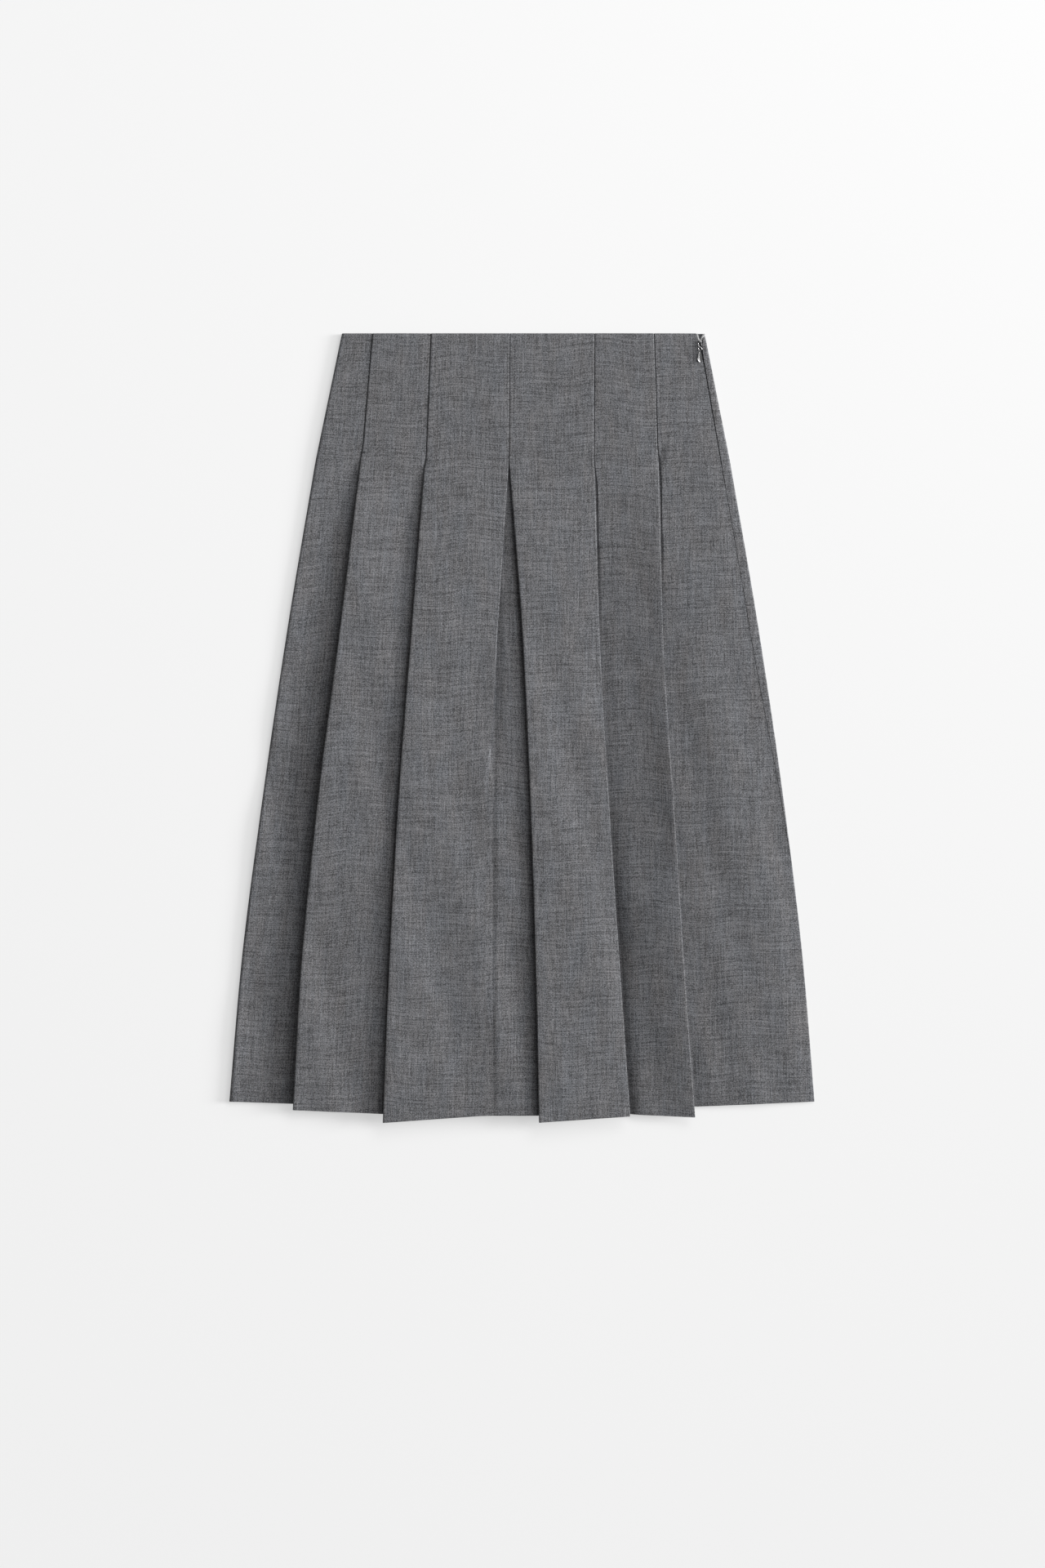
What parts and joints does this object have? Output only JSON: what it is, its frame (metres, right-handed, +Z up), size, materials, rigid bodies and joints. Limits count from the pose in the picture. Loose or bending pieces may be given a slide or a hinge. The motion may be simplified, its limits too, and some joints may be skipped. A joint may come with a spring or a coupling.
{
  "type": "pleated midi skirt",
  "caption": "Grey wool midi skirt with a stitched yoke, pressed pleats that open to the hem and a side zip, laid flat with its front up.",
  "frame": {"origin": "centre of the skirt's outline, on the surface that it lies on", "axes": "+Z up, away from that surface; +Y towards the waist; +X towards the side with the zip"},
  "size_m": [0.577, 0.7804, 0.0182],
  "materials": {
    "cloth": "matt melange plain weave",
    "zip_tape": "matt woven tape",
    "zip_metal": "satin nickel"
  },
  "bodies": {
    "skirt": {"front_panel": "cloth", "back_panel": "cloth", "zip_tape_front": "zip_tape", "zip_tape_back": "zip_tape", "zip_slider": "zip_metal"},
    "pull": {"zip_pull": "zip_metal"}
  },
  "joints": [
    {"name": "pull_swing", "type": "hinge", "parent": "skirt", "child": "pull", "pos_m": [0.1765, 0.3757, 0.00585], "axis": [-1, 0, 0], "range_deg": [0, 150]}
  ]
}
